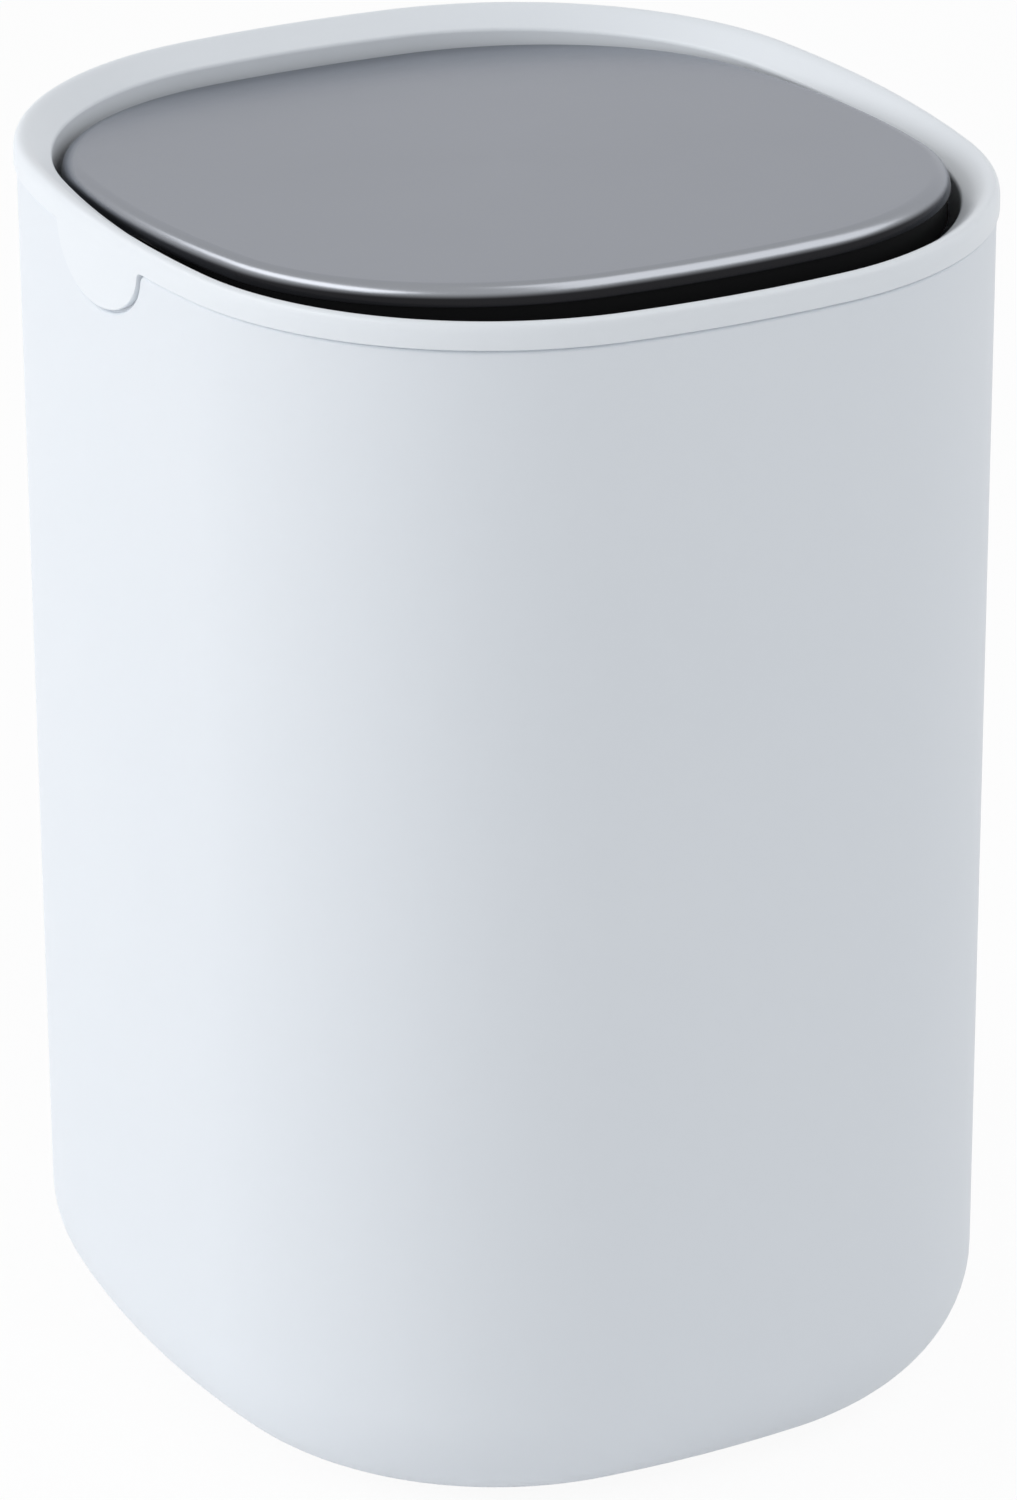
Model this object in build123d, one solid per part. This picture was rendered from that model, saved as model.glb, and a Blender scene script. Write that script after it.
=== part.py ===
from build123d import *
import os
from math import acos, asin, atan2, cos, degrees, hypot, pi, radians, sin, sqrt, tan

# Swing-lid waste bin. Millimetres, +Z up, origin at the middle of the standing surface.
# The front is -Y, the rear +Y, the left -X (the side with the lifting tab), the right +X.

# Plan of the bin: eight tangent arcs, measured on the outer wall at the rim
body_width = 187.0
body_length = 207.0
side_bulge_radius = 267.0
end_bulge_radius = 244.0
corner_radius = 74.0

# Bin body
overall_height = 270.0
wall = 2.4
wall_draft = 0.2
floor_thickness = 2.8
base_rounding = 26.0
base_recess_margin = 22.0
base_recess_depth = 1.0
shoulder_edge = 0.6
upstand_thickness = 1.3
upstand_height = 2.6

# Foot pads, pressed into round pockets under the corners
pad_diameter = 14.0
pad_pocket_depth = 1.2
pad_proud = 0.8
pad_edge = 0.4
pad_edge_margin = 3.0
pad_clearance = 0.05

# Lid ring
ring_height = 5.4
ring_proud = 0.65
ring_edge_radius = 2.4
ring_rim_width = 7.5
ring_rim_fall = 3.9
ring_inner_edge_radius = 1.2
throat_thickness = 2.0
throat_depth = 16.0
throat_edge = 0.5
seam_gap = 0.3
lap_clearance = 0.15
rib_thickness = 1.6
rib_root = 0.3
rib_clearance = 0.3
rib_drop = 12.0

# Lifting tab, a half ellipse that hangs from the left of the ring
tab_width = 38.6
tab_depth = 12.5
tab_root_radius = 1.5
tab_gap = 0.4
tab_back_clearance = 0.3

# Swing flap
flap_gap = 1.8
flap_recess = 0.9
flap_rest_tilt = -3.6
sheet = 0.5
cover_drop = 4.1
cover_edge_radius = 3.9
tape_thickness = 0.3
tape_length = 120.0
tape_width = 22.0
tape_offset = 48.0
carrier_clearance = 0.25
carrier_wall = 1.8
carrier_depth = 10.3
carrier_rib = 1.4
carrier_rib_depth = 5.4
long_rib_offsets = (28.0, 56.0)
cross_rib_offsets = (22.0, 50.0)

# Pivot: headed pins, pressed through the throat wall, turn in flanged bushes in the carrier
pivot_drop = 9.8
pin_diameter = 5.0
pin_head_diameter = 8.0
pin_head_thickness = 1.0
pin_edge = 0.3
pin_reach = 11.0
running_clearance = 0.05
fit_clearance = 0.02
end_play = 0.3
bush_wall = 1.0
bush_flange_diameter = 11.0
bush_flange_thickness = 1.0
bush_length = 12.0
seat_clearance = 0.08
boss_wall = 2.4
boss_height = 1.2
carrier_boss_wall = 1.6
carrier_boss_length = 15.0

# Swing stops: a nib on the carrier meets two lugs on the throat
swing_limit = 80.0
stop_slack = 2.0
stop_inner_radius = 6.3
stop_outer_radius = 9.5
stop_nib_width = 3.0
stop_nib_height = 1.0
stop_lug_height = 1.1
stop_lug_angle = 22.0
stop_ear_thickness = 1.7

# Counterweight under the flap, in a trough at the foot of a keel, set a little to the rear so that the
# flap comes to rest at its tilt
weight_offset = 0.67
weight_diameter = 12.0
weight_length = 120.0
weight_drop = 24.0
weight_clearance = 0.15
weight_edge = 0.6
trough_wall = 2.0
keel_thickness = 2.4
keel_end_room = 5.5
lug_length = 11.0
lug_thickness = 3.0
lug_width = 9.0
gusset_thickness = 1.6
gusset_spread = 36.0
gusset_offsets = (20.0, 58.0)
screw_diameter = 2.9
screw_length = 9.0
screw_head_diameter = 5.6
screw_head_thickness = 1.9
screw_head_edge = 0.6
screw_pilot_wall = 2.2
screw_tip_room = 0.6
screw_hole_clearance = 0.15
screw_slot_width = 0.8
screw_slot_depth = 1.3
screw_slot_share = 0.62

# Sizes that follow from the ones above
half_width = body_width / 2
half_length = body_length / 2
base_z = pad_proud
shoulder_z = overall_height - ring_height
seat_z = shoulder_z + upstand_height
skirt_z = shoulder_z + seam_gap
lap_inset = wall - upstand_thickness
skirt_inset = lap_inset - lap_clearance
throat_z = overall_height - ring_rim_fall - throat_depth
tab_foot_z = skirt_z - tab_depth - 0.5
throat_x = half_width - ring_rim_width
flap_inset = ring_rim_width + flap_gap
flap_top_z = overall_height - flap_recess
pivot_z = flap_top_z - pivot_drop
weight_z = pivot_z - weight_drop
bush_sleeve_diameter = pin_diameter + 2 * bush_wall
bush_face_x = throat_x - end_play
bush_collar_x = bush_face_x - bush_flange_thickness
bush_end_x = bush_collar_x - bush_length
carrier_end_x = bush_collar_x - seat_clearance
boss_end_x = throat_x + throat_thickness + boss_height
pin_head_x = boss_end_x + seat_clearance
pin_tip_x = carrier_end_x - pin_reach
deck_z = flap_top_z - sheet - tape_thickness
deck_under_z = deck_z - carrier_wall
carrier_inset = flap_inset + sheet + carrier_clearance
carrier_foot_z = flap_top_z - carrier_depth
carrier_edge = (cover_edge_radius - sheet) * 2 / 3
trough_radius = weight_diameter / 2 + weight_clearance
trough_half_length = weight_length / 2 + weight_clearance
sides = {"left": -1, "right": 1}


# Centre of the corner arc that touches both bulged sides from inside
def corner_centre():
    side_reach = side_bulge_radius - corner_radius
    end_reach = end_bulge_radius - corner_radius
    side_x = half_width - side_bulge_radius
    end_y = half_length - end_bulge_radius
    apart = hypot(side_x, end_y)
    along = (side_reach**2 - end_reach**2 + apart**2) / (2 * apart)
    across = sqrt(side_reach**2 - along**2)
    x = side_x - (along * side_x + across * end_y) / apart
    y = (along * end_y - across * side_x) / apart
    return x, y


# The eight arcs of the plan: centre, radius, start angle and sweep
def plan_arcs(inset=0.0):
    cx, cy = corner_centre()
    side_x = half_width - side_bulge_radius
    end_y = half_length - end_bulge_radius
    side_angle = degrees(atan2(cy, cx - side_x))
    end_angle = degrees(atan2(cy - end_y, cx))
    turn = end_angle - side_angle
    side_r = side_bulge_radius - inset
    end_r = end_bulge_radius - inset
    corner_r = corner_radius - inset
    return [
        ((side_x, 0), side_r, -side_angle, 2 * side_angle),
        ((cx, cy), corner_r, side_angle, turn),
        ((0, end_y), end_r, end_angle, 180 - 2 * end_angle),
        ((-cx, cy), corner_r, 180 - end_angle, turn),
        ((-side_x, 0), side_r, 180 - side_angle, 2 * side_angle),
        ((-cx, -cy), corner_r, 180 + side_angle, turn),
        ((0, -end_y), end_r, 180 + end_angle, 180 - 2 * end_angle),
        ((cx, -cy), corner_r, 360 - end_angle, turn),
    ]


# The plan as a face at a height, drawn in by an inset
def plan(inset, z):
    edges = [CenterArc((c[0], c[1]), r, start, size) for c, r, start, size in plan_arcs(inset)]
    return Pos(0, 0, z) * make_face(edges)


# A straight-walled block on the plan
def plan_block(inset, low_z, high_z):
    return extrude(plan(inset, low_z), high_z - low_z)


# A band between two insets of the plan
def plan_band(outer_inset, inner_inset, low_z, high_z):
    return plan_block(outer_inset, low_z, high_z) - plan_block(inner_inset, low_z, high_z)


# A section drawn as (minus inset, height), carried round the plan
def around(section):
    pieces = []
    for centre, radius, start, size in plan_arcs():
        placed = Plane.XZ * Pos(radius, 0) * section
        turned = revolve(placed, axis=Axis.Z, revolution_arc=size)
        pieces.append(Pos(centre[0], centre[1], 0) * Rot(0, 0, start) * turned)
    return pieces[0].fuse(*pieces[1:]).clean()


# A drafted block with rounded lower edges
def drafted_block(inset, low_z, high_z, rounding):
    lean = tan(radians(wall_draft))
    low = plan(inset + (shoulder_z - low_z) * lean, low_z)
    high = plan(inset + (shoulder_z - high_z) * lean, high_z)
    block = Solid.make_loft([low.face().outer_wire(), high.face().outer_wire()], ruled=True)
    return fillet(Part([block]).edges().group_by(Axis.Z)[0], rounding)


# A rod along X between two stations
def rod_x(radius, start_x, end_x, y, z):
    length = abs(end_x - start_x)
    middle = (start_x + end_x) / 2
    return Pos(middle, y, z) * Rot(0, 90, 0) * Cylinder(radius, length)


# The four corner directions, as signs of X and Y
def corner_signs():
    return [("front_left", -1, -1), ("front_right", 1, -1), ("rear_left", -1, 1), ("rear_right", 1, 1)]


# Where a foot pad sits, inside the flat of the base
def pad_place(sx, sy):
    cx, cy = corner_centre()
    lean_inset = (shoulder_z - base_z) * tan(radians(wall_draft))
    reach = corner_radius - base_rounding - lean_inset - pad_edge_margin - pad_diameter / 2
    return sx * (cx + reach * cos(radians(45))), sy * (cy + reach * sin(radians(45)))


# Outline of the tab and the ring edge it hangs from, seen from the left
def tab_outline(clearance, edge_z):
    half = tab_width / 2 + clearance
    band = Pos(0, edge_z + tab_depth / 2) * Rectangle(2 * tab_width, tab_depth)
    drop = Pos(0, edge_z) * Ellipse(half, tab_depth + clearance)
    outline = band + drop
    roots = outline.vertices().filter_by(lambda v: abs(v.Y - edge_z) < 0.01 and abs(v.X) < half + 0.01)
    outline = fillet(roots, tab_root_radius)
    return extrude(Plane.YZ * outline, -2 * half_width)


# Bin body: drafted shell with a rebated rim, a tab pocket, pad pockets and a raised middle below
def make_bin_body():
    lean_inset = (shoulder_z - base_z) * tan(radians(wall_draft))
    outer = drafted_block(0, base_z, seat_z, base_rounding)
    inner = drafted_block(wall, base_z + floor_thickness, seat_z, base_rounding - wall)
    body = outer - inner
    body -= plan_band(-2 * ring_proud, lap_inset, shoulder_z, seat_z)
    rim = body.edges().filter_by(lambda e: abs(e.center().Z - shoulder_z) < 0.01)
    outside = [e for e in rim if e.length > 1 and distance_to_plan(e) < lap_inset / 2]
    body = chamfer(outside, shoulder_edge)
    pocket = plan_band(-2 * ring_proud, skirt_inset + tab_back_clearance, throat_z, seat_z)
    body -= pocket & tab_outline(tab_gap, shoulder_z)
    recess = base_rounding + lean_inset + base_recess_margin
    body -= plan_block(recess, base_z, base_z + base_recess_depth)
    for _, sx, sy in corner_signs():
        x, y = pad_place(sx, sy)
        pocket_radius = pad_diameter / 2 + pad_clearance
        body -= Pos(x, y, base_z + pad_pocket_depth / 2) * Cylinder(pocket_radius, pad_pocket_depth)
    return body


# How far inside the plan the middle of an edge lies
def distance_to_plan(edge):
    point = edge @ 0.5
    inside = []
    for centre, radius, start, size in plan_arcs():
        angle = (degrees(atan2(point.Y - centre[1], point.X - centre[0])) - start) % 360
        if angle <= size + 0.01:
            inside.append(radius - hypot(point.X - centre[0], point.Y - centre[1]))
    return min(inside, key=abs)


# Foot pad: a soft disc with a broken lower edge
def make_foot_pad(sx, sy):
    x, y = pad_place(sx, sy)
    height = pad_pocket_depth + pad_proud
    pad = Cylinder(pad_diameter / 2, height)
    pad = chamfer(pad.edges().group_by(Axis.Z)[0], pad_edge)
    return Pos(x, y, height / 2) * pad


# Section of the lid ring: skirt, as deep as the tab, rounded crest, sloping rim, throat wall
def ring_section():
    crest_z = overall_height - ring_edge_radius
    crest_x = ring_proud - ring_edge_radius
    rim_x = -ring_rim_width
    rim_z = overall_height - ring_rim_fall
    reach = hypot(rim_x - crest_x, rim_z - crest_z)
    bearing = 2 * pi + atan2(rim_z - crest_z, rim_x - crest_x)
    touch = bearing - acos(ring_edge_radius / reach)
    touch_x = crest_x + ring_edge_radius * cos(touch)
    touch_z = crest_z + ring_edge_radius * sin(touch)
    slope = (touch_z - rim_z) / (touch_x - rim_x)
    middle = touch / 2
    under_x = -wall - lap_clearance
    under_z = seat_z - (rim_x + throat_thickness - under_x) * -slope
    outer_line = Line((ring_proud, tab_foot_z), (ring_proud, crest_z))
    crest = ThreePointArc(
        (ring_proud, crest_z),
        (crest_x + ring_edge_radius * cos(middle), crest_z + ring_edge_radius * sin(middle)),
        (touch_x, touch_z),
    )
    rest = Polyline(
        (touch_x, touch_z),
        (rim_x, rim_z),
        (rim_x, throat_z),
        (rim_x + throat_thickness, throat_z),
        (rim_x + throat_thickness, under_z),
        (under_x, seat_z),
        (-skirt_inset, seat_z),
        (-skirt_inset, tab_foot_z),
        (ring_proud, tab_foot_z),
    )
    section = make_face([outer_line, crest, *rest.edges()])
    section = fillet(section.vertices().sort_by_distance((rim_x, rim_z))[0], ring_inner_edge_radius)
    for foot_x in (rim_x, rim_x + throat_thickness):
        section = chamfer(section.vertices().sort_by_distance((foot_x, throat_z))[0], throat_edge)
    return section


# One locating rib between the throat and the inside of the bin wall
def ring_rib(centre, radius, angle):
    inner = radius - ring_rim_width + throat_thickness - rib_root
    outer = radius - wall - rib_clearance
    low = seat_z - rib_drop
    rib = Box(outer - inner, rib_thickness, rib_drop, align=(Align.MIN, Align.CENTER, Align.MIN))
    tip = rib.edges().filter_by(Axis.Y).sort_by(lambda e: e.center().Z - e.center().X)[0]
    rib = chamfer(tip, rib_thickness / 2)
    return Pos(centre[0], centre[1], low) * Rot(0, 0, angle) * Pos(inner, 0, 0) * rib


# Ribs at thirds of every arc, leaving the pivots clear
def ring_ribs():
    ribs = []
    for centre, radius, start, size in plan_arcs():
        for share in (1 / 6, 5 / 6) if radius > corner_radius else (1 / 4, 3 / 4):
            ribs.append(ring_rib(centre, radius, start + share * size))
    return ribs


# A stop lug on the throat wall, a short sector round the pivot
def stop_lug(side, sign):
    half_nib = degrees(asin(stop_nib_width / 2 / stop_inner_radius))
    near = radians(-90 + sign * (swing_limit + half_nib + stop_slack))
    far = near + sign * radians(stop_lug_angle)
    reach = 2 * stop_outer_radius
    corners = [(0, 0), (reach * cos(near), reach * sin(near)), (reach * cos(far), reach * sin(far))]
    sector = (Circle(stop_outer_radius) - Circle(stop_inner_radius)) & Polygon(*corners, align=None)
    root_depth = throat_thickness / 2
    placed = Plane.YZ.offset(throat_x - stop_lug_height) * Pos(0, pivot_z) * sector
    lug = extrude(placed, stop_lug_height + root_depth)
    return lug if side > 0 else mirror(lug, Plane.YZ)


# Lid ring: the carried section with ribs, pivot bosses, stop lugs and the lifting tab
def make_lid_ring():
    ring = around(ring_section())
    ring -= plan_band(-2 * ring_proud, wall, tab_foot_z - 1, skirt_z) - tab_outline(0, skirt_z)
    ring = ring.fuse(*ring_ribs())
    boss_radius = pin_diameter / 2 + boss_wall
    hole_radius = pin_diameter / 2 + fit_clearance
    for side in sides.values():
        wall_middle = side * (throat_x + throat_thickness / 2)
        ring += rod_x(boss_radius, wall_middle, side * boss_end_x, 0, pivot_z)
        for sign in (-1, 1):
            ring += stop_lug(side, sign)
        ring -= rod_x(hole_radius, side * bush_collar_x, side * (boss_end_x + 1), 0, pivot_z)
    return ring


# Flanged bush in the end of the carrier
def make_pivot_bush(side):
    bush = rod_x(bush_flange_diameter / 2, bush_collar_x, bush_face_x, 0, pivot_z)
    bush += rod_x(bush_sleeve_diameter / 2, bush_end_x, bush_collar_x, 0, pivot_z)
    bush -= rod_x(pin_diameter / 2 + running_clearance, bush_end_x - 1, bush_face_x + 1, 0, pivot_z)
    return bush if side > 0 else mirror(bush, Plane.YZ)


# Headed pivot pin, pressed through the boss of the throat wall
def make_pivot_pin(side):
    pin = rod_x(pin_diameter / 2, pin_tip_x, pin_head_x + pin_head_thickness / 2, 0, pivot_z)
    pin = chamfer(pin.edges().group_by(Axis.X)[0], pin_edge)
    pin += rod_x(pin_head_diameter / 2, pin_head_x, pin_head_x + pin_head_thickness, 0, pivot_z)
    pin = chamfer(pin.edges().group_by(Axis.X)[-1], pin_edge)
    return pin if side > 0 else mirror(pin, Plane.YZ)


# Pressed steel cover: flat top, rolled edge, open below
def make_flap_cover():
    low = flap_top_z - cover_drop
    outer = plan_block(flap_inset, low, flap_top_z)
    outer = fillet(outer.edges().group_by(Axis.Z)[-1], cover_edge_radius)
    inner = plan_block(flap_inset + sheet, low, flap_top_z - sheet)
    inner = fillet(inner.edges().group_by(Axis.Z)[-1], cover_edge_radius - sheet)
    return outer - inner


# Strip of double-sided tape between the cover and the carrier deck
def make_cover_tape(sign):
    strip = Box(tape_length, tape_width, tape_thickness)
    return Pos(0, sign * tape_offset, deck_z + tape_thickness / 2) * strip


# Ribs under the carrier deck
def carrier_ribs():
    low = deck_under_z - carrier_rib_depth
    grid = []
    for offset in long_rib_offsets:
        for sign in (-1, 1):
            rib = Box(2 * half_width, carrier_rib, carrier_rib_depth + carrier_wall / 2)
            grid.append(Pos(0, sign * offset, low + (carrier_rib_depth + carrier_wall / 2) / 2) * rib)
    for offset in cross_rib_offsets:
        for sign in (-1, 1):
            rib = Box(carrier_rib, 2 * half_length, carrier_rib_depth + carrier_wall / 2)
            grid.append(Pos(sign * offset, 0, low + (carrier_rib_depth + carrier_wall / 2) / 2) * rib)
    inside = plan_block(carrier_inset + carrier_wall / 2, low, deck_z)
    return [inside & rib for rib in grid]


# What hangs below the flap, moved a little to the rear
def hung(shape):
    return Pos(0, weight_offset, 0) * shape


# Keel: a web that tapers down to the trough, with gussets to either side
def carrier_keel():
    foot_x = trough_half_length + trough_wall + lug_length
    top_x = half_width - carrier_inset - keel_end_room
    top = deck_under_z + carrier_wall / 2
    corners = [(-top_x, top), (top_x, top), (foot_x, weight_z), (-foot_x, weight_z)]
    keel = extrude(Plane.XZ * Polygon(*corners, align=None), keel_thickness / 2, both=True)
    narrow = keel_thickness / 2
    wide = gusset_spread / 2
    points = [(-wide, top), (wide, top), (narrow, weight_z), (-narrow, weight_z)]
    gusset = extrude(Plane.YZ * Polygon(*points, align=None), gusset_thickness / 2, both=True)
    for offset in gusset_offsets:
        for sign in (-1, 1):
            keel += Pos(sign * offset, 0, 0) * gusset
    return keel


# One half of the tube that holds the weight, with a screw lug at each end
def trough_half(up):
    outer = trough_radius + trough_wall
    end = trough_half_length + trough_wall
    half = rod_x(outer, -end, end, 0, weight_z)
    half -= rod_x(trough_radius, -trough_half_length, trough_half_length, 0, weight_z)
    reach = end + lug_length
    keep = Pos(0, 0, weight_z) * Box(
        2 * reach, 4 * outer, 2 * outer, align=(Align.CENTER, Align.CENTER, Align.MIN if up else Align.MAX)
    )
    half = half & keep
    for sign in (-1, 1):
        middle = sign * (end + lug_length / 2 - trough_wall / 2)
        lug = Box(lug_length + trough_wall, lug_width, lug_thickness)
        lug = fillet(lug.edges().filter_by(Axis.Z).group_by(Axis.X)[-1 if sign > 0 else 0], lug_width / 3)
        half += Pos(middle, 0, weight_z + (lug_thickness / 2 if up else -lug_thickness / 2)) * lug
    return half


# Where the two screws of the weight cover stand
def screw_stations():
    return [sign * (trough_half_length + trough_wall + lug_length / 2) for sign in (-1, 1)]


# Stop ear on the end of a carrier boss, with the nib that meets the lugs
def stop_ear():
    width = 2 * stop_nib_width
    ear_x = carrier_end_x - stop_ear_thickness
    drop = stop_outer_radius
    ear = Pos(ear_x + stop_ear_thickness / 2, 0, pivot_z - drop / 2) * Box(stop_ear_thickness, width, drop)
    reach = stop_outer_radius - stop_inner_radius
    nib_x = carrier_end_x + stop_nib_height / 2
    nib = Box(stop_nib_height, stop_nib_width, reach)
    return ear + Pos(nib_x, 0, pivot_z - stop_inner_radius - reach / 2) * nib


# Flap carrier: black deck with a deep edge, ribs, pivot bosses, keel and trough
def make_flap_carrier():
    shell = plan_block(carrier_inset, carrier_foot_z, deck_z)
    shell = chamfer(shell.edges().group_by(Axis.Z)[-1], carrier_edge)
    shell -= plan_block(carrier_inset + carrier_wall, carrier_foot_z, deck_under_z)
    carrier = shell.fuse(*carrier_ribs(), hung(carrier_keel()), hung(trough_half(True)))
    for side in sides.values():
        inboard = side * (carrier_end_x - carrier_boss_length)
        boss_radius = bush_sleeve_diameter / 2 + carrier_boss_wall
        carrier += rod_x(boss_radius, inboard, side * carrier_end_x, 0, pivot_z)
        ear = stop_ear()
        carrier += ear if side > 0 else mirror(ear, Plane.YZ)
    carrier -= rod_x(trough_radius, -trough_half_length, trough_half_length, weight_offset, weight_z)
    pilot = screw_length - lug_thickness + screw_tip_room
    post_height = pilot + screw_tip_room
    bore = screw_diameter / 2 + fit_clearance
    for station in screw_stations():
        post = Cylinder(bore + screw_pilot_wall, post_height)
        carrier += Pos(station, weight_offset, weight_z + post_height / 2) * post
        carrier -= Pos(station, weight_offset, weight_z + pilot / 2) * Cylinder(bore, pilot)
    for side in sides.values():
        bore = bush_sleeve_diameter / 2 + fit_clearance
        carrier -= rod_x(bore, side * (bush_end_x - seat_clearance), side * (carrier_end_x + 1), 0, pivot_z)
    return carrier


# Counterweight: a plain steel bar with broken edges
def make_counterweight():
    bar = rod_x(weight_diameter / 2, -weight_length / 2, weight_length / 2, 0, weight_z)
    return hung(chamfer(bar.edges().filter_by(GeomType.CIRCLE), weight_edge))


# Cover that closes the trough from below
def make_counterweight_cover():
    cover = trough_half(False)
    for station in screw_stations():
        hole = Cylinder(screw_diameter / 2 + screw_hole_clearance, lug_thickness)
        cover -= Pos(station, 0, weight_z - lug_thickness / 2) * hole
    return hung(cover)


# The two screws of the weight cover, as one group
def make_counterweight_screws():
    screws = []
    for station in screw_stations():
        seat = weight_z - lug_thickness
        shank = Pos(station, 0, seat + screw_length / 2) * Cylinder(screw_diameter / 2, screw_length)
        shank = chamfer(shank.edges().group_by(Axis.Z)[-1], screw_head_edge)
        head = Cylinder(screw_head_diameter / 2, screw_head_thickness)
        head = Pos(station, 0, seat - screw_head_thickness / 2) * head
        head = chamfer(head.edges().group_by(Axis.Z)[0], screw_head_edge)
        slot = Box(screw_head_diameter * screw_slot_share, screw_slot_width, 2 * screw_slot_depth)
        cross = slot + Rot(0, 0, 90) * slot
        screws.append(shank + head - Pos(station, 0, seat - screw_head_thickness) * cross)
    return hung(screws[0] + screws[1])


# The flap as it rests: turned a little about the pivot
def rest_flap(shape):
    return Pos(0, 0, pivot_z) * Rot(flap_rest_tilt, 0, 0) * Pos(0, 0, -pivot_z) * shape


# All nodes by name
def make_all():
    nodes = {"bin_body": make_bin_body(), "lid_ring": make_lid_ring()}
    for name, sx, sy in corner_signs():
        nodes["foot_pad_" + name] = make_foot_pad(sx, sy)
    for name, side in sides.items():
        nodes["pivot_pin_" + name] = make_pivot_pin(side)
        nodes["pivot_bush_" + name] = rest_flap(make_pivot_bush(side))
    nodes["flap_cover"] = rest_flap(make_flap_cover())
    nodes["flap_carrier"] = rest_flap(make_flap_carrier())
    nodes["cover_tape_front"] = rest_flap(make_cover_tape(-1))
    nodes["cover_tape_rear"] = rest_flap(make_cover_tape(1))
    nodes["counterweight"] = rest_flap(make_counterweight())
    nodes["counterweight_cover"] = rest_flap(make_counterweight_cover())
    nodes["counterweight_screws"] = rest_flap(make_counterweight_screws())
    return nodes


os.makedirs("parts", exist_ok=True)
for node, shape in make_all().items():
    export_step(shape, "parts/" + node + ".step")
    print(node, round(shape.volume / 1000, 2), "cm3")
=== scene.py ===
from math import asin, atan2, cos, hypot, pi, radians, sin, sqrt, tan

import bmesh
import bpy
from mathutils import Matrix, Quaternion, Vector


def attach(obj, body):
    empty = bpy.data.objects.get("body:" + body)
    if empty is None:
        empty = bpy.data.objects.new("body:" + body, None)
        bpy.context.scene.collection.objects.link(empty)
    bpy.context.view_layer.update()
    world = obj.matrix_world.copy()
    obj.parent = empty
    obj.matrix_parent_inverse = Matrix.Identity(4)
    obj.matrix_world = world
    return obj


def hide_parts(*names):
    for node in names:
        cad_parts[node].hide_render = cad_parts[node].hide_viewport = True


# Swing-lid bin. Metres, +Z up, the origin in the middle of the standing surface.
# The front is -Y and the lifting tab is on the left, -X.

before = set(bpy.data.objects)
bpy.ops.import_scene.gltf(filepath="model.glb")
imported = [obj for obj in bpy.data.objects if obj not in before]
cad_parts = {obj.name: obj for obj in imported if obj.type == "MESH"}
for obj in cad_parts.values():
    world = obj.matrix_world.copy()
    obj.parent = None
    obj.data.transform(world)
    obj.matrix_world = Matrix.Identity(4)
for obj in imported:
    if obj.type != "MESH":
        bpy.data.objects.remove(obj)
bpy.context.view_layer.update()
print("frame loaded:", len(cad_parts), "nodes")

mm = 0.001
mergeDistance = 1e-6  # points nearer than this become one

# eight arcs that touch, measured on the outer wall at the rim
planSizes = {
    "halfWidth": 93.5 * mm,
    "halfLength": 103.5 * mm,
    "sideBulge": 267 * mm,
    "endBulge": 244 * mm,
    "corner": 74 * mm,
    "cornerSteps": 36,
    "sideSteps": 8,
    "endSteps": 6,
}


def planArcs():
    # centre, radius, start angle, sweep and steps of each arc, anticlockwise from the right side
    size = planSizes
    sideX = size["halfWidth"] - size["sideBulge"]
    endY = size["halfLength"] - size["endBulge"]
    sideReach = size["sideBulge"] - size["corner"]
    endReach = size["endBulge"] - size["corner"]
    apart = hypot(sideX, endY)
    along = (sideReach**2 - endReach**2 + apart**2) / (2 * apart)
    across = sqrt(sideReach**2 - along**2)
    cx = sideX - (along * sideX + across * endY) / apart
    cy = (along * endY - across * sideX) / apart
    side = atan2(cy, cx - sideX)
    end = atan2(cy - endY, cx)
    sides = (size["sideBulge"], 2 * side, size["sideSteps"])
    ends = (size["endBulge"], pi - 2 * end, size["endSteps"])
    corner = (size["corner"], end - side, size["cornerSteps"])
    return [
        ((sideX, 0), sides[0], -side, sides[1], sides[2]),
        ((cx, cy), corner[0], side, corner[1], corner[2]),
        ((0, endY), ends[0], end, ends[1], ends[2]),
        ((-cx, cy), corner[0], pi - end, corner[1], corner[2]),
        ((-sideX, 0), sides[0], pi - side, sides[1], sides[2]),
        ((-cx, -cy), corner[0], pi + side, corner[1], corner[2]),
        ((0, -endY), ends[0], pi + end, ends[1], ends[2]),
        ((cx, -cy), corner[0], 2 * pi - end, corner[1], corner[2]),
    ]


def tabColumns(tab, clearance):
    # where the columns of the left side stand round the tab, as y and how far the edge drops there
    half = tab["halfWidth"] + clearance
    depth = tab["depth"] + clearance
    root = tab["root"]
    joint = asin(root / depth)
    foot = half * cos(joint) + root
    columns = []
    for step in range(tab["rootSteps"]):
        turn = pi / 2 * (1 - step / tab["rootSteps"])
        columns.append((foot - root * cos(turn), root * (1 - sin(turn))))
    for step in range(tab["edgeSteps"] + 1):
        turn = joint + (pi / 2 - joint) * step / tab["edgeSteps"]
        columns.append((half * cos(turn), depth * sin(turn)))
    return columns + [(-y, drop) for y, drop in reversed(columns[:-1])]


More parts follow.
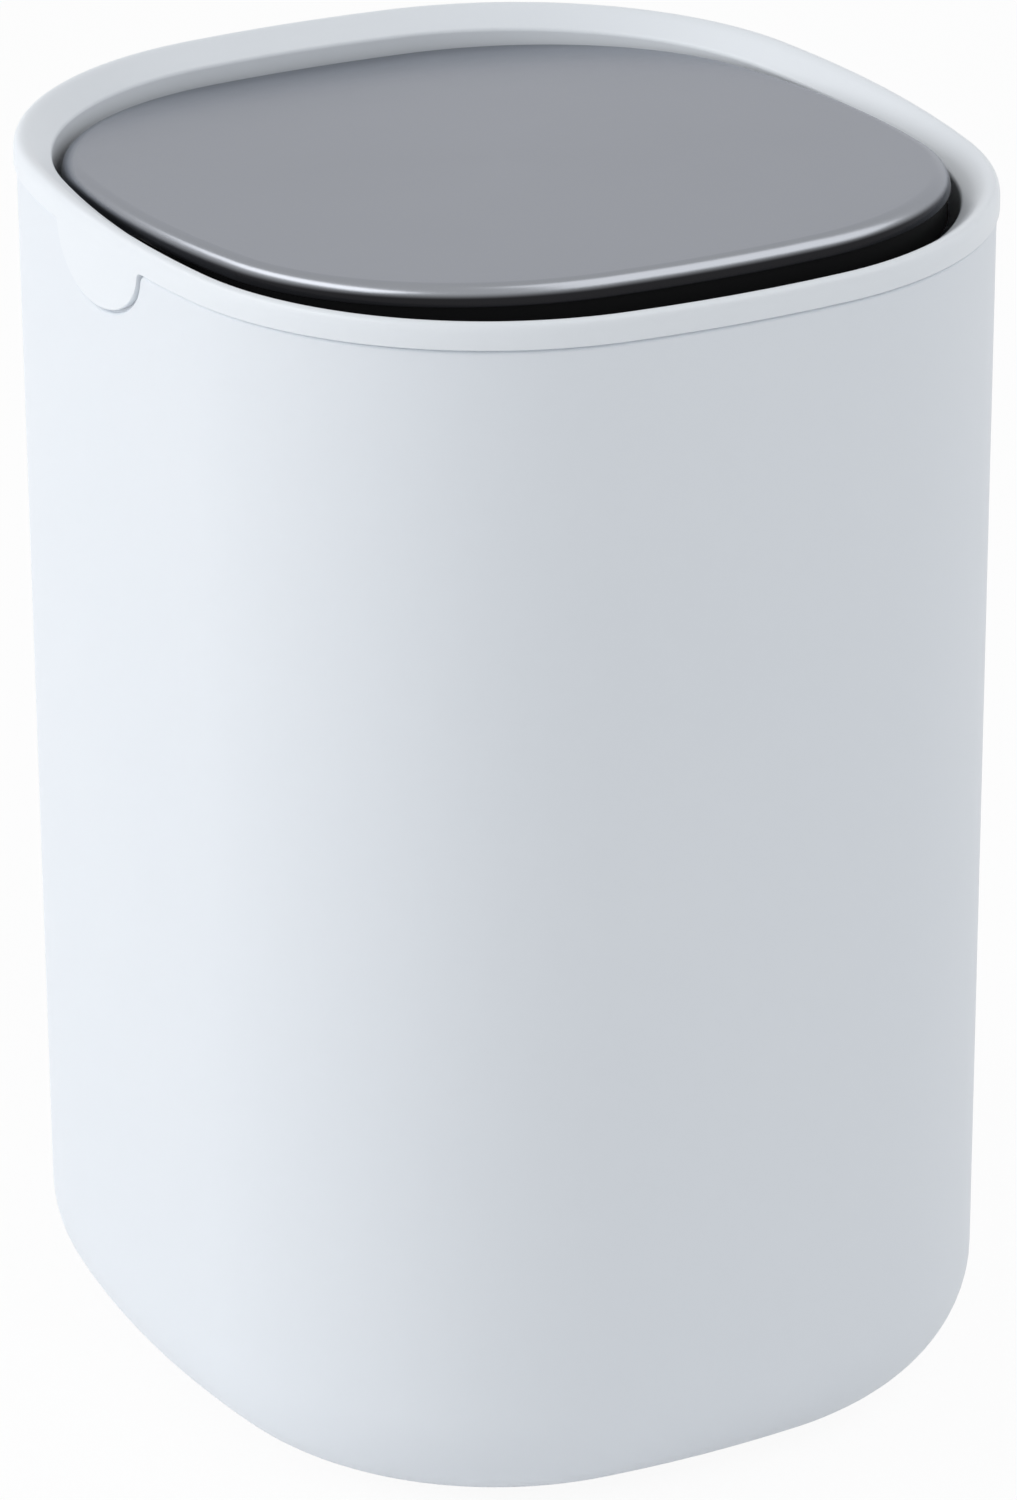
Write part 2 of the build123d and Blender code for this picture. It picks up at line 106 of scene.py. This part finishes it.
def carrySection(bm, columns=None):
    # spins what is in bm, a section drawn at the start of the first arc, round the whole plan
    profile = [v for v in bm.verts]
    geom = bm.verts[:] + bm.edges[:]
    rings = [(profile, 0)]
    for centre, radius, start, sweep, steps in planArcs():
        turns = [(sweep / steps, 0)] * steps
        if columns and centre[0] > 0 and centre[1] == 0:
            angles = [(pi - asin(y / radius), drop) for y, drop in columns]
            stops = [(start + (angles[0][0] - start) * n / 4, 0) for n in range(1, 4)]
            stops += angles
            last = angles[-1][0]
            stops += [(last + (start + sweep - last) * n / 4, 0) for n in range(1, 5)]
            turns = [(b[0] - a[0], b[1]) for a, b in zip([(start, 0)] + stops, stops)]
        for turn, drop in turns:
            spun = bmesh.ops.spin(bm, geom=geom, cent=(*centre, 0), axis=(0, 0, 1), dvec=(0, 0, 0),
                                  angle=turn, steps=1, use_merge=False, use_duplicate=False)
            geom = spun["geom_last"]
            rings.append(([e for e in geom if isinstance(e, bmesh.types.BMVert)], drop))
    return rings


def drawSection(bm, points, closed):
    # points are inset, height and the rounding of that corner with its steps
    centre, radius, start = planArcs()[0][:3]
    verts = []
    for inset, height, *_ in points:
        reach = radius - inset
        verts.append(bm.verts.new((centre[0] + reach * cos(start), centre[1] + reach * sin(start), height)))
    ring = verts + verts[:1] if closed else verts
    for a, b in zip(ring, ring[1:]):
        bm.edges.new((a, b))
    for vert, (_, _, rounding, steps) in zip(verts, points):
        if rounding:
            arms = [e.other_vert(vert).co - vert.co for e in vert.link_edges]
            turn = pi - arms[0].angle(arms[1])
            bmesh.ops.bevel(bm, geom=[vert], offset=rounding * tan(turn / 2), offset_type="OFFSET",
                            segments=steps, profile=0.5, affect="VERTICES", material=-1)


def finishShell(bm, name, sharpAngle=32):
    bmesh.ops.remove_doubles(bm, verts=bm.verts[:], dist=mergeDistance)
    bmesh.ops.holes_fill(bm, edges=[e for e in bm.edges if e.is_boundary], sides=0)
    bmesh.ops.recalc_face_normals(bm, faces=bm.faces[:])
    for face in bm.faces:
        face.smooth = True
    for edge in bm.edges:
        if len(edge.link_faces) == 2 and edge.calc_face_angle(0) > radians(sharpAngle):
            edge.smooth = False
    mesh = bpy.data.meshes.new(name)
    bm.to_mesh(mesh)
    bm.free()
    piece = bpy.data.objects.new(name, mesh)
    bpy.context.scene.collection.objects.link(piece)
    weighted = piece.modifiers.new("faceNormals", "WEIGHTED_NORMAL")
    weighted.keep_sharp = True
    return piece


# a half ellipse that hangs from the ring, with a small rounding where it starts
tabShape = {"halfWidth": 19.3 * mm, "depth": 12.5 * mm, "root": 1.5 * mm, "rootSteps": 6, "edgeSteps": 28,
            "gap": 0.4 * mm}

binShape = {
    "baseZ": 0.8 * mm,
    "floorZ": 3.6 * mm,
    "shoulderZ": 264.6 * mm,
    "seatZ": 267.2 * mm,
    "draft": radians(0.2),
    "wall": 2.4 * mm,
    "rebate": 1.1 * mm,
    "baseRounding": 26 * mm,
    "recessInset": 48.92 * mm,
    "recessDepth": 1 * mm,
    "shoulderRounding": 0.8 * mm,
    "edge": 0.25 * mm,
}


def makeBin():
    s = binShape
    lean = (s["shoulderZ"] - s["baseZ"]) * tan(s["draft"])
    recess = s["recessInset"]
    bm = bmesh.new()
    drawSection(bm, [
        (recess, s["baseZ"] + s["recessDepth"], 0, 0),
        (recess, s["baseZ"], s["edge"], 2),
        (lean, s["baseZ"], s["baseRounding"], 18),
        (0, s["shoulderZ"], s["shoulderRounding"], 5),
        (s["rebate"], s["shoulderZ"], 0, 0),
        (s["rebate"], s["seatZ"], s["edge"], 2),
        (s["wall"], s["seatZ"], s["edge"], 2),
        (s["wall"] + lean, s["floorZ"], s["baseRounding"] - s["wall"], 14),
        (recess, s["floorZ"], 0, 0),
    ], False)
    low = s["shoulderZ"] - 2 * s["shoulderRounding"]
    high = s["shoulderZ"] + s["edge"]
    for ring, drop in carrySection(bm, tabColumns(tabShape, tabShape["gap"])):
        for vert in ring:
            if low < vert.co.z < high:
                vert.co.z -= drop
    piece = finishShell(bm, "bin")
    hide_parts("bin_body")
    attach(piece, "bin")
    return piece


ringShape = {
    "topZ": 270 * mm,
    "proud": 0.65 * mm,
    "crestRadius": 2.4 * mm,
    "rimWidth": 7.5 * mm,
    "rimFall": 3.9 * mm,
    "rimEdge": 1.2 * mm,
    "throatWall": 2 * mm,
    "throatDepth": 16 * mm,
    "throatEdge": 0.5 * mm,
    "skirtInset": 0.95 * mm,
    "seam": 0.3 * mm,
    "skirtEdge": 0.3 * mm,
    "lapClearance": 0.15 * mm,
    "ribThickness": 1.6 * mm,
    "ribRoot": 0.3 * mm,
    "ribDrop": 12 * mm,
    "ribInset": 2.7 * mm,
}


def ringSection():
    s = ringShape
    crestX = s["crestRadius"] - s["proud"]
    crestZ = s["topZ"] - s["crestRadius"]
    rimZ = s["topZ"] - s["rimFall"]
    reach = hypot(s["rimWidth"] - crestX, crestZ - rimZ)
    bearing = atan2(rimZ - crestZ, s["rimWidth"] - crestX)
    touch = bearing + asin(sqrt(1 - (s["crestRadius"] / reach)**2))
    slopeX = crestX + s["crestRadius"] * cos(touch)
    slopeZ = crestZ + s["crestRadius"] * sin(touch)
    fall = (slopeZ - rimZ) / (s["rimWidth"] - slopeX)
    # the corner that the crest rounds off, where the outer face would meet the slope
    cornerZ = slopeZ + fall * (slopeX + s["proud"])
    underX = binShape["wall"] + s["lapClearance"]
    outX = s["rimWidth"] - s["throatWall"]
    underZ = binShape["seatZ"] - (outX - underX) * fall
    throatZ = rimZ - s["throatDepth"]
    skirtZ = binShape["shoulderZ"] + s["seam"]
    return [
        (-s["proud"], skirtZ, s["skirtEdge"], 3),
        (-s["proud"], cornerZ, s["crestRadius"], 10),
        (s["rimWidth"], rimZ, s["rimEdge"], 5),
        (s["rimWidth"], throatZ, s["throatEdge"], 2),
        (outX, throatZ, s["throatEdge"], 2),
        (outX, underZ, 0, 0),
        (underX, binShape["seatZ"], 0, 0),
        (s["skirtInset"], binShape["seatZ"], 0, 0),
        (s["skirtInset"], skirtZ, 0, 0),
    ]


# bosses for the pins, and the lugs that stop the flap, whose angles are in degrees
pivotShape = {
    "height": 259.3 * mm,
    "bossRadius": 4.9 * mm,
    "boreRadius": 2.52 * mm,
    "bossEnd": 1.2 * mm,
    "lugInner": 6.3 * mm,
    "lugOuter": 9.5 * mm,
    "lugHeight": 1.1 * mm,
    "lugStart": 95.77,
    "lugTurn": 22,
}


def addRibs(bm):
    # two ribs on each arc, inside the body's rim, with their lower outer edge bevelled
    s = ringShape
    inner = s["rimWidth"] - s["throatWall"] + s["ribRoot"]
    low = binShape["seatZ"] - s["ribDrop"]
    for centre, radius, start, sweep, _ in planArcs():
        for share in (1 / 6, 5 / 6) if radius > planSizes["corner"] else (1 / 4, 3 / 4):
            turn = Matrix.Rotation(start + share * sweep, 4, "Z")
            length = inner - s["ribInset"]
            scale = Matrix.Diagonal((length, s["ribThickness"], s["ribDrop"], 1))
            middle = Matrix.Translation((radius - (inner + s["ribInset"]) / 2, 0, low + s["ribDrop"] / 2))
            place = Matrix.Translation((*centre, 0)) @ turn @ middle @ scale
            rib = bmesh.ops.create_cube(bm, size=1, matrix=place)["verts"]
            short = [e for v in rib for e in v.link_edges if e.calc_length() < 1.1 * s["ribThickness"]]
            foot = [e for e in short if max(v.co.z for v in e.verts) < low + 0.1 * mm]
            outer = max(set(foot), key=lambda e: (e.verts[0].co - Vector((*centre, 0))).length)
            bmesh.ops.bevel(bm, geom=[outer], offset=s["ribThickness"] / 2, offset_type="OFFSET", segments=1,
                            profile=0.5, affect="EDGES", material=-1)


def addBosses(bm):
    p = pivotShape
    throat = planSizes["halfWidth"] - ringShape["rimWidth"]
    inner = throat + ringShape["throatWall"] / 2
    outer = throat + ringShape["throatWall"] + p["bossEnd"]
    axle = Vector((0, 0, p["height"]))
    for side in (-1, 1):
        corners = [(inner, p["boreRadius"]), (outer, p["boreRadius"]),
                   (outer, p["bossRadius"]), (inner, p["bossRadius"])]
        verts = [bm.verts.new((side * x, 0, p["height"] + r)) for x, r in corners]
        edges = [bm.edges.new(pair) for pair in zip(verts, verts[1:] + verts[:1])]
        bmesh.ops.spin(bm, geom=verts + edges, cent=axle, axis=(1, 0, 0), dvec=(0, 0, 0),
                       angle=2 * pi, steps=48, use_merge=True, use_duplicate=False)


def addStopLugs(bm):
    p = pivotShape
    throat = planSizes["halfWidth"] - ringShape["rimWidth"]
    inner = throat - p["lugHeight"]
    outer = throat + ringShape["throatWall"] / 2
    axle = Vector((0, 0, p["height"]))
    corners = [(inner, p["lugInner"]), (outer, p["lugInner"]), (outer, p["lugOuter"]), (inner, p["lugOuter"])]
    for side in (-1, 1):
        for way in (-1, 1):
            start = Matrix.Rotation(way * radians(p["lugStart"]), 3, "X")
            verts = [bm.verts.new(axle + start @ Vector((side * x, 0, -r))) for x, r in corners]
            face = bm.faces.new(verts)
            bmesh.ops.spin(bm, geom=[face], cent=axle, axis=(1, 0, 0), dvec=(0, 0, 0),
                           angle=way * radians(p["lugTurn"]), steps=6, use_merge=False, use_duplicate=False)


def makeRing():
    bm = bmesh.new()
    drawSection(bm, ringSection(), True)
    skirtZ = binShape["shoulderZ"] + ringShape["seam"]
    for ring, drop in carrySection(bm, tabColumns(tabShape, 0)):
        for vert in ring:
            if skirtZ - 0.1 * mm < vert.co.z < skirtZ + 1.5 * ringShape["skirtEdge"]:
                vert.co.z -= drop
    bmesh.ops.remove_doubles(bm, verts=bm.verts[:], dist=mergeDistance)
    # these stand in the ring's wall as closed shells of their own
    addRibs(bm)
    addBosses(bm)
    addStopLugs(bm)
    piece = finishShell(bm, "lidRing")
    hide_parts("lid_ring")
    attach(piece, "lid")
    return piece


coverShape = {
    "inset": 9.3 * mm,
    "topZ": 269.1 * mm,
    "sheet": 0.5 * mm,
    "drop": 4.1 * mm,
    "roll": 3.9 * mm,
    "flatMargin": 2 * mm,
    "cutEdge": 0.1 * mm,
    "restTilt": radians(-3.6),
}


def restFlap():
    # the flap is drawn level and then tipped about its pins to where it rests
    axle = Vector((0, 0, pivotShape["height"]))
    turn = Matrix.Rotation(coverShape["restTilt"], 4, "X")
    return Matrix.Translation(axle) @ turn @ Matrix.Translation(-axle)


def makeCover():
    s = coverShape
    bm = bmesh.new()
    low = s["topZ"] - s["drop"]
    inner = s["inset"] + s["sheet"]
    flat = s["inset"] + s["roll"] + s["flatMargin"]
    drawSection(bm, [
        (flat, s["topZ"], 0, 0),
        (s["inset"], s["topZ"], s["roll"], 14),
        (s["inset"], low, s["cutEdge"], 2),
        (inner, low, s["cutEdge"], 2),
        (inner, s["topZ"] - s["sheet"], s["roll"] - s["sheet"], 10),
        (flat, s["topZ"] - s["sheet"], 0, 0),
    ], False)
    carrySection(bm)
    # how far down the rolled edge a point lies, which the steel reads to paint shade on the turned-under edge
    depth = bm.verts.layers.float.new("edgeDepth")
    for vert in bm.verts:
        vert[depth] = min(1, (s["topZ"] - vert.co.z) / s["drop"])
    piece = finishShell(bm, "flapCover")
    piece.data.transform(restFlap())
    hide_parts("flap_cover")
    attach(piece, "flap")
    return piece


def groupSocket(group, name, kind, way, value=None):
    socket = group.interface.new_socket(name=name, in_out=way, socket_type=kind)
    if value is not None:
        socket.default_value = value
    return socket


def mouldGrainGroup():
    # spark-eroded grain of a mould, and the faint unevenness of moulded plastic
    group = bpy.data.node_groups.new("mouldGrain", "ShaderNodeTree")
    groupSocket(group, "Grain scale", "NodeSocketFloat", "INPUT", 2600)
    groupSocket(group, "Cloud scale", "NodeSocketFloat", "INPUT", 14)
    groupSocket(group, "Height", "NodeSocketFloat", "OUTPUT")
    groupSocket(group, "Cloud", "NodeSocketFloat", "OUTPUT")
    nodes, links = group.nodes, group.links
    ins, outs = nodes.new("NodeGroupInput"), nodes.new("NodeGroupOutput")
    place = nodes.new("ShaderNodeTexCoord")
    grain = nodes.new("ShaderNodeTexNoise")
    grain.inputs["Detail"].default_value = 3
    grain.inputs["Roughness"].default_value = 0.6
    pits = nodes.new("ShaderNodeTexVoronoi")
    pits.feature = "SMOOTH_F1"
    mixed = nodes.new("ShaderNodeMath")
    mixed.operation = "MULTIPLY"
    cloud = nodes.new("ShaderNodeTexNoise")
    cloud.inputs["Detail"].default_value = 2
    links.new(place.outputs["Object"], grain.inputs["Vector"])
    links.new(place.outputs["Object"], pits.inputs["Vector"])
    links.new(place.outputs["Object"], cloud.inputs["Vector"])
    links.new(ins.outputs["Grain scale"], grain.inputs["Scale"])
    links.new(ins.outputs["Grain scale"], pits.inputs["Scale"])
    links.new(ins.outputs["Cloud scale"], cloud.inputs["Scale"])
    links.new(grain.outputs["Fac"], mixed.inputs[0])
    links.new(pits.outputs["Distance"], mixed.inputs[1])
    links.new(mixed.outputs[0], outs.inputs["Height"])
    links.new(cloud.outputs["Fac"], outs.inputs["Cloud"])
    return group


def drawnGrainGroup():
    # lines that rolling and brushing leave in metal, along X of the piece
    group = bpy.data.node_groups.new("drawnGrain", "ShaderNodeTree")
    groupSocket(group, "Line scale", "NodeSocketFloat", "INPUT", 3500)
    groupSocket(group, "Length share", "NodeSocketFloat", "INPUT", 0.012)
    groupSocket(group, "Height", "NodeSocketFloat", "OUTPUT")
    groupSocket(group, "Cloud", "NodeSocketFloat", "OUTPUT")
    nodes, links = group.nodes, group.links
    ins, outs = nodes.new("NodeGroupInput"), nodes.new("NodeGroupOutput")
    place = nodes.new("ShaderNodeTexCoord")
    parts = nodes.new("ShaderNodeSeparateXYZ")
    stretch = nodes.new("ShaderNodeMath")
    stretch.operation = "MULTIPLY"
    joined = nodes.new("ShaderNodeCombineXYZ")
    lines = nodes.new("ShaderNodeTexNoise")
    lines.inputs["Detail"].default_value = 4
    cloud = nodes.new("ShaderNodeTexNoise")
    cloud.inputs["Scale"].default_value = 30
    links.new(place.outputs["Object"], parts.inputs[0])
    links.new(parts.outputs["X"], stretch.inputs[0])
    links.new(ins.outputs["Length share"], stretch.inputs[1])
    links.new(stretch.outputs[0], joined.inputs["X"])
    links.new(parts.outputs["Y"], joined.inputs["Y"])
    links.new(parts.outputs["Z"], joined.inputs["Z"])
    links.new(joined.outputs[0], lines.inputs["Vector"])
    links.new(ins.outputs["Line scale"], lines.inputs["Scale"])
    links.new(place.outputs["Object"], cloud.inputs["Vector"])
    links.new(lines.outputs["Fac"], outs.inputs["Height"])
    links.new(cloud.outputs["Fac"], outs.inputs["Cloud"])
    return group


grainGroups = {"mould": mouldGrainGroup(), "drawn": drawnGrainGroup()}


def makeMaterial(name, look):
    # look holds the colours, roughness range, grain and bump of one finish
    material = bpy.data.materials.new(name)
    material.use_nodes = True
    nodes, links = material.node_tree.nodes, material.node_tree.links
    shader = nodes["Principled BSDF"]
    shader.inputs["Metallic"].default_value = look.get("metallic", 0)
    shader.inputs["Anisotropic"].default_value = look.get("anisotropic", 0)
    shader.inputs["Specular IOR Level"].default_value = look.get("specular", 0.5)
    shader.inputs["Specular Tint"].default_value = (*look.get("edgeTint", (1, 1, 1)), 1)
    grain = nodes.new("ShaderNodeGroup")
    grain.node_tree = grainGroups[look["grain"]]
    for key, value in look["grainSizes"].items():
        grain.inputs[key].default_value = value
    tone = nodes.new("ShaderNodeMix")
    tone.data_type = "RGBA"
    tone.inputs["A"].default_value = (*look["colour"], 1)
    tone.inputs["B"].default_value = (*look.get("second", look["colour"]), 1)
    links.new(grain.outputs["Cloud"], tone.inputs["Factor"])
    links.new(tone.outputs["Result"], shader.inputs["Base Color"])
    if "paintedShadeSpan" in look:
        # painted shade: the base colour goes near black down the rolled edge where it turns under, standing
        # in for the shadow and dark reflection in the gap below the flap
        depth = nodes.new("ShaderNodeAttribute")
        depth.attribute_name = "edgeDepth"
        shadeMask = nodes.new("ShaderNodeMapRange")
        shadeMask.interpolation_type = "SMOOTHSTEP"
        shadeMask.inputs["From Min"].default_value = look["paintedShadeSpan"][0]
        shadeMask.inputs["From Max"].default_value = look["paintedShadeSpan"][1]
        paintedShade = nodes.new("ShaderNodeMix")
        paintedShade.data_type = "RGBA"
        paintedShade.inputs["B"].default_value = (*look["paintedShadeColour"], 1)
        links.new(depth.outputs["Fac"], shadeMask.inputs["Value"])
        links.new(shadeMask.outputs["Result"], paintedShade.inputs["Factor"])
        links.new(tone.outputs["Result"], paintedShade.inputs["A"])
        links.new(paintedShade.outputs["Result"], shader.inputs["Base Color"])
    rough = nodes.new("ShaderNodeMapRange")
    rough.inputs["To Min"].default_value = look["roughness"][0]
    rough.inputs["To Max"].default_value = look["roughness"][1]
    links.new(grain.outputs["Height"], rough.inputs["Value"])
    links.new(rough.outputs["Result"], shader.inputs["Roughness"])
    bump = nodes.new("ShaderNodeBump")
    bump.inputs["Strength"].default_value = look["bump"][0]
    bump.inputs["Distance"].default_value = look["bump"][1]
    links.new(grain.outputs["Height"], bump.inputs["Height"])
    links.new(bump.outputs["Normal"], shader.inputs["Normal"])
    return material


# colour and second are the two tones of a finish, roughness its range, bump strength and depth in metres
finishes = {
    "whiteBody": {
        "colour": (0.79, 0.83, 0.88), "second": (0.81, 0.845, 0.89),
        "roughness": (0.5, 0.62), "bump": (0.12, 5e-05),
        "grain": "mould", "grainSizes": {"Grain scale": 2600, "Cloud scale": 14},
    },
    "whiteLid": {
        "colour": (0.825, 0.862, 0.905), "second": (0.835, 0.87, 0.91),
        "roughness": (0.36, 0.44), "bump": (0.08, 3e-05),
        "grain": "mould", "grainSizes": {"Grain scale": 4200, "Cloud scale": 20},
    },
    "brushedSteel": {
        "colour": (0.268, 0.28, 0.304), "second": (0.28, 0.292, 0.316),
        "roughness": (0.18, 0.28), "bump": (0.1, 2e-05), "metallic": 1, "anisotropic": 0.2,
        # the steel's rolled edge gets painted shade, its colour going near black where it turns under
        "edgeTint": (0.765, 0.777, 0.81), "paintedShadeSpan": (0.32, 0.62), "paintedShadeColour": (0.02, 0.02, 0.022),
        "grain": "drawn", "grainSizes": {"Line scale": 3500, "Length share": 0.012},
    },
    "blackPlastic": {
        "colour": (0.003, 0.003, 0.0032), "second": (0.005, 0.005, 0.0053),
        "roughness": (0.5, 0.62), "bump": (0.15, 5e-05), "specular": 0.08,
        "grain": "mould", "grainSizes": {"Grain scale": 3000, "Cloud scale": 30},
    },
    "paleBush": {
        "colour": (0.78, 0.76, 0.7), "second": (0.82, 0.8, 0.75),
        "roughness": (0.3, 0.4), "bump": (0.1, 3e-05),
        "grain": "mould", "grainSizes": {"Grain scale": 5000, "Cloud scale": 60},
    },
    "turnedSteel": {
        "colour": (0.55, 0.55, 0.56), "second": (0.6, 0.6, 0.61),
        "roughness": (0.2, 0.32), "bump": (0.1, 2e-05), "metallic": 1,
        "grain": "drawn", "grainSizes": {"Line scale": 6000, "Length share": 0.05},
    },
    "barSteel": {
        "colour": (0.28, 0.28, 0.29), "second": (0.36, 0.35, 0.34),
        "roughness": (0.35, 0.55), "bump": (0.2, 4e-05), "metallic": 1,
        "grain": "drawn", "grainSizes": {"Line scale": 2500, "Length share": 0.03},
    },
    "zincScrew": {
        "colour": (0.6, 0.61, 0.63), "second": (0.68, 0.68, 0.66),
        "roughness": (0.25, 0.4), "bump": (0.1, 2e-05), "metallic": 1,
        "grain": "mould", "grainSizes": {"Grain scale": 6000, "Cloud scale": 200},
    },
    "paleTape": {
        "colour": (0.72, 0.71, 0.66), "second": (0.78, 0.77, 0.73),
        "roughness": (0.6, 0.75), "bump": (0.2, 5e-05),
        "grain": "mould", "grainSizes": {"Grain scale": 1500, "Cloud scale": 50},
    },
    "greyPad": {
        "colour": (0.12, 0.125, 0.13), "second": (0.15, 0.155, 0.16),
        "roughness": (0.6, 0.75), "bump": (0.3, 0.0001),
        "grain": "mould", "grainSizes": {"Grain scale": 2500, "Cloud scale": 60},
    },
}
# what each node that keeps its CAD shape is made of
wears = {
    "flap_carrier": "blackPlastic", "counterweight_cover": "blackPlastic", "pivot_bush_left": "paleBush",
    "pivot_bush_right": "paleBush", "pivot_pin_left": "turnedSteel", "pivot_pin_right": "turnedSteel",
    "counterweight": "barSteel", "counterweight_screws": "zincScrew", "cover_tape_front": "paleTape",
    "cover_tape_rear": "paleTape", "foot_pad_front_left": "greyPad", "foot_pad_front_right": "greyPad",
    "foot_pad_rear_left": "greyPad", "foot_pad_rear_right": "greyPad",
}


def wear(thing, material):
    thing.data.materials.clear()
    thing.data.materials.append(material)


materials = {name: makeMaterial(name, look) for name, look in finishes.items()}
print("finishes made:", len(materials))
wear(makeBin(), materials["whiteBody"])
wear(makeRing(), materials["whiteLid"])
wear(makeCover(), materials["brushedSteel"])
for node, finish in wears.items():
    wear(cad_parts[node], materials[finish])
print("pieces made and dressed")

studio = {
    "floorSize": 12,
    "floorWhite": 0.96,
    "cameraWhite": 0.93,  # share of plain white in the floor, the rest is lit and holds the shadow
    "worldLevel": 0.53,
    "worldColour": (0.97, 0.985, 1.0),
    "lampAim": (0, 0, 0.14),
}


def makeFloor():
    bm = bmesh.new()
    bmesh.ops.create_grid(bm, x_segments=1, y_segments=1, size=studio["floorSize"] / 2)
    mesh = bpy.data.meshes.new("floor")
    bm.to_mesh(mesh)
    bm.free()
    floor = bpy.data.objects.new("floor", mesh)
    bpy.context.scene.collection.objects.link(floor)
    material = bpy.data.materials.new("paleFloor")
    material.use_nodes = True
    nodes, links = material.node_tree.nodes, material.node_tree.links
    shader = nodes["Principled BSDF"]
    shader.inputs["Roughness"].default_value = 0.9
    shader.inputs["Specular IOR Level"].default_value = 0
    shader.inputs["Base Color"].default_value = (*[studio["floorWhite"]] * 3, 1)
    glow = nodes.new("ShaderNodeEmission")
    glow.inputs["Color"].default_value = (1, 1, 1, 1)
    mix = nodes.new("ShaderNodeMixShader")
    path = nodes.new("ShaderNodeLightPath")
    seen = nodes.new("ShaderNodeMath")
    seen.operation = "MAXIMUM"
    share = nodes.new("ShaderNodeMath")
    share.operation = "MULTIPLY"
    share.inputs[1].default_value = studio["cameraWhite"]
    links.new(path.outputs["Is Camera Ray"], seen.inputs[0])
    links.new(path.outputs["Is Glossy Ray"], seen.inputs[1])
    links.new(seen.outputs[0], share.inputs[0])
    links.new(share.outputs[0], mix.inputs["Fac"])
    links.new(shader.outputs[0], mix.inputs[1])
    links.new(glow.outputs[0], mix.inputs[2])
    links.new(mix.outputs[0], nodes["Material Output"].inputs["Surface"])
    wear(floor, material)


def makeWorld():
    world = bpy.data.worlds.new("studioWorld")
    bpy.context.scene.world = world
    world.use_nodes = True
    nodes, links = world.node_tree.nodes, world.node_tree.links
    dim = nodes["Background"]
    dim.inputs["Color"].default_value = (*studio["worldColour"], 1)
    dim.inputs["Strength"].default_value = studio["worldLevel"]
    white = nodes.new("ShaderNodeBackground")
    white.inputs["Color"].default_value = (1, 1, 1, 1)
    white.inputs["Strength"].default_value = 1
    # eye, metal and glass all see the white backdrop, and the light itself is dimmer
    path = nodes.new("ShaderNodeLightPath")
    seen = nodes.new("ShaderNodeMath")
    seen.operation = "MAXIMUM"
    both = nodes.new("ShaderNodeMath")
    both.operation = "MAXIMUM"
    mix = nodes.new("ShaderNodeMixShader")
    links.new(path.outputs["Is Camera Ray"], seen.inputs[0])
    links.new(path.outputs["Is Glossy Ray"], seen.inputs[1])
    links.new(seen.outputs[0], both.inputs[0])
    links.new(path.outputs["Is Transmission Ray"], both.inputs[1])
    links.new(both.outputs[0], mix.inputs["Fac"])
    links.new(dim.outputs[0], mix.inputs[1])
    links.new(white.outputs[0], mix.inputs[2])
    links.new(mix.outputs[0], nodes["World Output"].inputs["Surface"])


# size is in metres, and level is how bright the lamp's face looks beside a white of 1
lamps = {
    "keyLeft": {"at": (-2.6, 0.8, 1.1), "size": (1.6, 1.8), "level": 4.0, "mirrored": False},
    "fillRight": {"at": (2.4, 0.4, 0.9), "size": (1.2, 1.6), "level": 1.2, "mirrored": False},
    "frontHigh": {"at": (0.4, -1.5, 2.1), "size": (1.6, 1.2), "level": 1.45, "mirrored": False},
    "stripLeft": {"at": (-1.2, 1.3, 1.75), "size": (0.8, 3.2), "level": 2.4, "flat": True, "lights": False},
    "panelTop": {"at": (1.6, -0.45, 1.95), "size": (3, 1.5), "level": 1.2, "flat": True, "lights": False},
}


def makeLamp(name, lamp):
    light = bpy.data.lights.new(name, "AREA")
    light.shape = "RECTANGLE"
    light.size, light.size_y = lamp["size"]
    light.energy = lamp["level"] * pi * light.size * light.size_y
    thing = bpy.data.objects.new(name, light)
    bpy.context.scene.collection.objects.link(thing)
    thing.location = lamp["at"]
    if not lamp.get("flat"):
        aim = Vector(studio["lampAim"]) - Vector(lamp["at"])
        thing.rotation_euler = aim.to_track_quat("-Z", "Y").to_euler()
    thing.visible_glossy = lamp.get("mirrored", True)
    thing.visible_diffuse = lamp.get("lights", True)


# the photo's viewpoint, worked out from the outline, the seam and the flap
cameraView = {
    "azimuth": -27.594,
    "elevation": 22.96,
    "roll": -0.292,
    "distance": 1.5651,
    "aim": (-0.00085, -0.00347, 0.13576),
    "lens": 173.7,
    "sensor": 36,
}


def makeCamera():
    view = cameraView
    turn, rise = radians(view["azimuth"]), radians(view["elevation"])
    away = Vector((sin(turn) * cos(rise), -cos(turn) * cos(rise), sin(rise)))
    data = bpy.data.cameras.new("camera")
    data.sensor_fit = "AUTO"
    data.sensor_width = view["sensor"]
    data.lens = view["lens"]
    data.clip_end = 50
    camera = bpy.data.objects.new("camera", data)
    bpy.context.scene.collection.objects.link(camera)
    camera.location = Vector(view["aim"]) + view["distance"] * away
    facing = (-away).to_track_quat("-Z", "Y") @ Quaternion((0, 0, 1), radians(view["roll"]))
    camera.rotation_euler = facing.to_euler()
    bpy.context.scene.camera = camera


makeFloor()
makeWorld()
for name, lamp in lamps.items():
    makeLamp(name, lamp)
makeCamera()
bpy.context.scene.view_settings.view_transform = "Standard"
print("studio ready")
